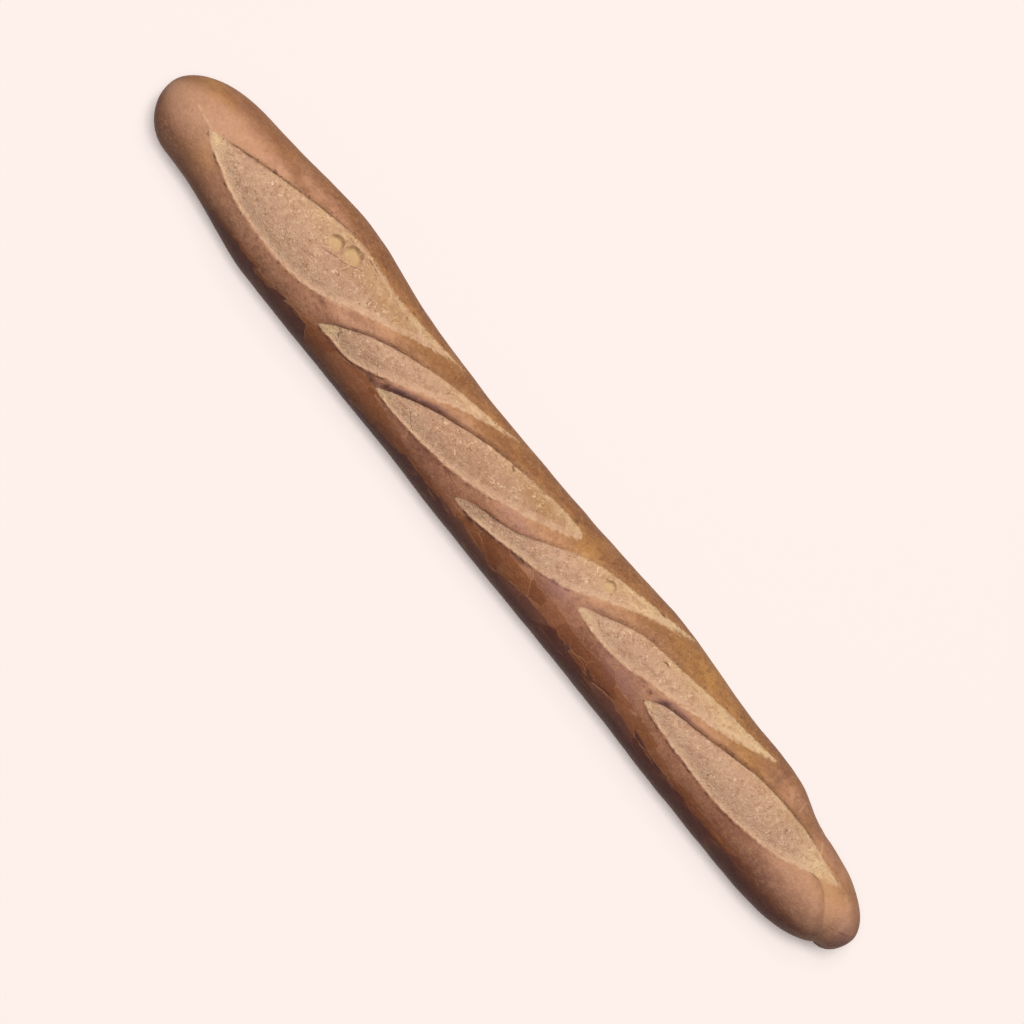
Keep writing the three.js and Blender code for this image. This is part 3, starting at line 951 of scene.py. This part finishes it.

# %% [markdown]
# Bubbles. Each burst bubble shows a yellow floor, and under its steep right wall a dark arc of painted shade.
# The distance to its middle is worked out in the shader, so the painted arc is sharp whatever the mesh.

# %% Bubble colour
BOWL_TONE = paint(208, 174, 124)
BOWL_EDGE = (1.02, 0.75)
BOWL_LEAN = (-0.9, 0.2, 0.2, 0.66)
PIT_SHADE_TONE = paint(118, 82, 56)
PIT_SHADE_INNER = (0.55, 0.92)
PIT_SHADE_OUTER = (1.08, 0.98)
PIT_SHADE_LEAN = (-0.2, 0.8)
along_mm = product(along, 1000.0)
across_mm = measure("across")
for pit in PITS:
    ahead = product(sum_of("SUBTRACT", along_mm, pit["x"]), 1 / pit["radius"])
    to_right = product(sum_of("SUBTRACT", across_mm, pit["across"]), 1 / pit["radius"])
    from_pit = add("ShaderNodeCombineXYZ", {"X": ahead, "Y": to_right}).outputs["Vector"]
    from_pit = add("ShaderNodeVectorMath", {0: from_pit}, operation="LENGTH").outputs["Value"]
    from_pit = sum_of("ADD", from_pit, shaken(4.0, 0.3))
    on_top = ease(girth, 80.0, 60.0)
    bowl = product(ease(from_pit, *BOWL_EDGE), ease(to_right, *BOWL_LEAN), on_top)
    skin_colour = blend(bowl, skin_colour, BOWL_TONE)
    # The dark arc under the right wall is painted shade.
    wall = product(ease(from_pit, *PIT_SHADE_INNER), ease(from_pit, *PIT_SHADE_OUTER), ease(to_right, *PIT_SHADE_LEAN))
    wall = product(wall, on_top, clouds(3.5, 0.35, 0.65, 0.4, 0.7))
    skin_colour = blend(wall, skin_colour, PIT_SHADE_TONE)
print("bubbles coloured:", len(PITS))

# %% [markdown]
# Burnt edges and painted light. Thin edges of dough scorch first: small dots beside the ears and lips, and
# the purple-brown start of the strips that stood up most. A fine dark line along the ears and outside the
# lips is partly scorch and partly painted shadow. The fold has a painted highlight on its far side and
# painted shade on its near side. The creases get painted shade and the threads a painted highlight, drawn
# last.

# %% Burnt edges and painted light
SCORCH_AND_SHADOW_TONE = paint(88, 50, 38)
dots = product(band(ear_side, -1.0, 0.4, 0.5), clouds(2.4, 0.62, 0.7, detail=1.0), 0.5)
lip_dots = product(band(lip_side, -1.2, -0.5, 0.5), clouds(3.0, 0.55, 0.66), ease(girth, 0.0, -20.0), 0.6)
# A thin dark line along the ear, partly scorch and partly painted shadow under the ear.
ear_scorch_and_shadow_line = product(thin_line(ear_side, 0.15, 0.6), measure("ear_scorch_and_shade"), clouds(7.0, 0.35, 0.6, 0.5))
# A thin dark line outside the lip, partly scorch and partly painted shadow.
lip_scorch_and_shadow_line = product(thin_line(sum_of("ADD", lip_side, 0.6), 0.2, 0.9), measure("lip_scorch_and_shade"))
lip_scorch_and_shadow_line = product(lip_scorch_and_shadow_line, clouds(4.0, 0.36, 0.58, 0.15))
# Painted shade in the creases.
crease_shade_line = thin_line(sum_of("ADD", measure("crease"), shaken(4.0, 1.4)), 0.4, 1.3)
crease_shade_line = product(crease_shade_line, measure("crease_shade_share"))
# A pale line along each thin ridge, partly its own crust and partly painted highlight.
thread_highlight_line = thin_line(sum_of("ADD", measure("thread"), shaken(4.0, 2.4)), 0.3, 1.2)
thread_highlight_line = product(thread_highlight_line, measure("thread_highlight_share"), clouds(3.5, 0.38, 0.6, 0.2))
# The fold's pale far side is a painted highlight and its dark near side is painted shade.
fold_way = measure("fold")
on_fold = product(measure("fold_share"), clouds(5.0, 0.3, 0.6, 0.4, detail=3.0))
SCORCH_AND_PAINTED_LIGHT = (
    (product(measure("scorched"), clouds(4.0, 0.3, 0.6, 0.65, 0.95, detail=3.0)), paint(92, 56, 60)),
    (sum_of("MAXIMUM", dots, lip_dots), SCORCH_AND_SHADOW_TONE),
    (sum_of("MAXIMUM", ear_scorch_and_shadow_line, lip_scorch_and_shadow_line), SCORCH_AND_SHADOW_TONE),
    (product(measure("knots"), clouds(2.0, 0.3, 0.6, 0.6)), paint(72, 40, 32)),
    (product(band(fold_way, 1.4, 5.0, 2.2), on_fold, 0.4), paint(202, 158, 116)),
    (product(band(fold_way, -2.4, 0.0, 1.2), on_fold, 0.3), paint(112, 72, 58)),
    (product(crease_shade_line, 0.85), paint(74, 42, 32)),
    (product(thread_highlight_line, 0.7), paint(232, 194, 150)),
)
for share, tone in SCORCH_AND_PAINTED_LIGHT:
    skin_colour = blend(share, skin_colour, tone)
print("burnt and drawn coats:", len(SCORCH_AND_PAINTED_LIGHT))

# %% [markdown]
# Surface. Crust has a dull satin gloss, crumb has none. Both get a little bump for what is too small
# to model: pores and cracks in the crust, and grit in the crumb.

# %% Finish of the surface
BUMP_CRUST = 0.5
BUMP_CRUMB = 0.9
BUMP_DEPTH = 0.0008
CRACK_DEPTH = -0.4
ROUGH_CRUST = 0.55
ROUGH_CRUMB = 0.9
GLOSS = 0.2
grit = sum_of("ADD", speckle(1.2, 3.0, 0.65), product(crack_line, CRACK_DEPTH))
bump_strength = ease(crumb_share, 0.0, 1.0, BUMP_CRUST, BUMP_CRUMB)
bump = add("ShaderNodeBump", {"Height": grit, "Strength": bump_strength, "Distance": BUMP_DEPTH})
shader = add("ShaderNodeBsdfPrincipled", {
    "Base Color": skin_colour,
    "Roughness": ease(crumb_share, 0.0, 1.0, ROUGH_CRUST, ROUGH_CRUMB),
    "Specular IOR Level": GLOSS,
    "Normal": bump.outputs["Normal"],
})
add("ShaderNodeOutputMaterial", {"Surface": shader.outputs["BSDF"]})
loaf_mesh.materials.append(material)
print("nodes in the crust:", len(tree.nodes))

# %% [markdown]
# The stage: a plain pale floor, one soft light from above on the loaf's right, and a sky that is brightest
# overhead and on that side. The floor glows, as a lit table does, so shadows stay light, and its glow is
# dimmed close under the loaf by an occlusion node, a painted contact shadow. It is hidden from diffuse rays,
# so that its glow doesn't light the loaf from below.

# %% Floor
FLOOR_HALF = 6.0
FLOOR_TONE = (0.06, 0.052, 0.05, 1.0)
FLOOR_GLOW = (0.93, 0.82, 0.782, 1.0)
FLOOR_ROUGH = 0.9
CONTACT_SHADE = 0.012
CONTACT_RAMP = (0.3, 0.82, 0.15, 1.0)
SHADE_SAMPLES = 4
bm = bmesh.new()
bmesh.ops.create_grid(bm, x_segments=1, y_segments=1, size=FLOOR_HALF)
floor_mesh = bpy.data.meshes.new("pale_floor")
bm.to_mesh(floor_mesh)
bm.free()
floor = bpy.data.objects.new("pale_floor", floor_mesh)
bpy.context.scene.collection.objects.link(floor)
floor.visible_diffuse = False
floor_material = bpy.data.materials.new("pale_floor")
floor_material.use_nodes = True
tree = floor_material.node_tree
floor_shader = tree.nodes["Principled BSDF"]
floor_shader.inputs["Base Color"].default_value = FLOOR_TONE
floor_shader.inputs["Roughness"].default_value = FLOOR_ROUGH
floor_shader.inputs["Specular IOR Level"].default_value = 0.0
floor_shader.inputs["Emission Color"].default_value = FLOOR_GLOW
# The glow fades where the loaf is near: a painted contact shadow.
nearness = add("ShaderNodeAmbientOcclusion", {"Distance": CONTACT_SHADE}, samples=SHADE_SAMPLES).outputs["AO"]
tree.links.new(ease(nearness, *CONTACT_RAMP), floor_shader.inputs["Emission Strength"])
floor_mesh.materials.append(floor_material)
print("floor, metres across:", 2 * FLOOR_HALF)

# %% [markdown]
# A small disk of light far off gives soft shadows with a clear side, and the sky fills them. The sky's
# strength is worked out from the way it lies, up and to the loaf's right.

# %% Light and sky
KEY_PLACE = Vector((-0.2, 0.6, 1.6))
KEY_SIZE = 0.5
KEY_POWER = 22.0
KEY_TONE = (1.0, 0.97, 0.93)
SKY_LOW = 0.12
SKY_RISE = 0.45
SKY_LEAN = 0.12
SKY_TONE = (1.0, 0.96, 0.94, 1.0)
key_data = bpy.data.lights.new("soft_window", "AREA")
key_data.shape = "DISK"
key_data.size = KEY_SIZE
key_data.energy = KEY_POWER
key_data.color = KEY_TONE
key = bpy.data.objects.new("soft_window", key_data)
key.location = KEY_PLACE
key.rotation_mode = "QUATERNION"
key.rotation_quaternion = KEY_PLACE.to_track_quat("Z", "Y")
bpy.context.scene.collection.objects.link(key)

world = bpy.data.worlds.new("soft_sky")
world.use_nodes = True
tree = world.node_tree
sky_way = add("ShaderNodeTexCoord").outputs["Generated"]
sky_way = add("ShaderNodeSeparateXYZ", {"Vector": sky_way})
sky_light = sum_of("ADD", sum_of("MULTIPLY", sky_way.outputs["Z"], SKY_RISE), SKY_LOW)
sky_light = sum_of("ADD", sky_light, sum_of("MULTIPLY", sky_way.outputs["Y"], SKY_LEAN), clamp=True)
sky = tree.nodes["Background"]
sky.inputs["Color"].default_value = SKY_TONE
tree.links.new(sky_light, sky.inputs["Strength"])
bpy.context.scene.world = world
print("light, metres from the loaf:", round(KEY_PLACE.length, 2))

# %% [markdown]
# The camera looks down along the blade's lean, and is rolled so that the loaf runs from the upper left
# to the lower right of the picture. A long lens keeps the loaf's width true at both ends.

# %% Camera
VIEW_DISTANCE = 7000.0
PICTURE_HALF = 266.3
LOAF_SLOPE = math.radians(51.67)
AIM = (0.5, 3.66, 17.0)
SENSOR = 36.0
along_loaf = Vector((1, 0, 0))
over_loaf = Vector((0, math.cos(BLADE_LEAN), math.sin(BLADE_LEAN)))
back = along_loaf.cross(over_loaf)
right = math.cos(LOAF_SLOPE) * along_loaf + math.sin(LOAF_SLOPE) * over_loaf
up = -math.sin(LOAF_SLOPE) * along_loaf + math.cos(LOAF_SLOPE) * over_loaf
aim = AIM[0] * along_loaf + AIM[1] * over_loaf + AIM[2] * back
spot = (aim + VIEW_DISTANCE * back) * MM
turned = Matrix((right, up, back)).transposed().to_4x4()
camera_data = bpy.data.cameras.new("camera")
camera_data.sensor_width = SENSOR
camera_data.lens = SENSOR / 2 * VIEW_DISTANCE / PICTURE_HALF
camera = bpy.data.objects.new("camera", camera_data)
camera.matrix_world = Matrix.Translation(spot) @ turned
bpy.context.scene.collection.objects.link(camera)
bpy.context.scene.camera = camera
bpy.context.scene.view_settings.view_transform = "Standard"
print("lens, mm:", round(camera_data.lens, 1))
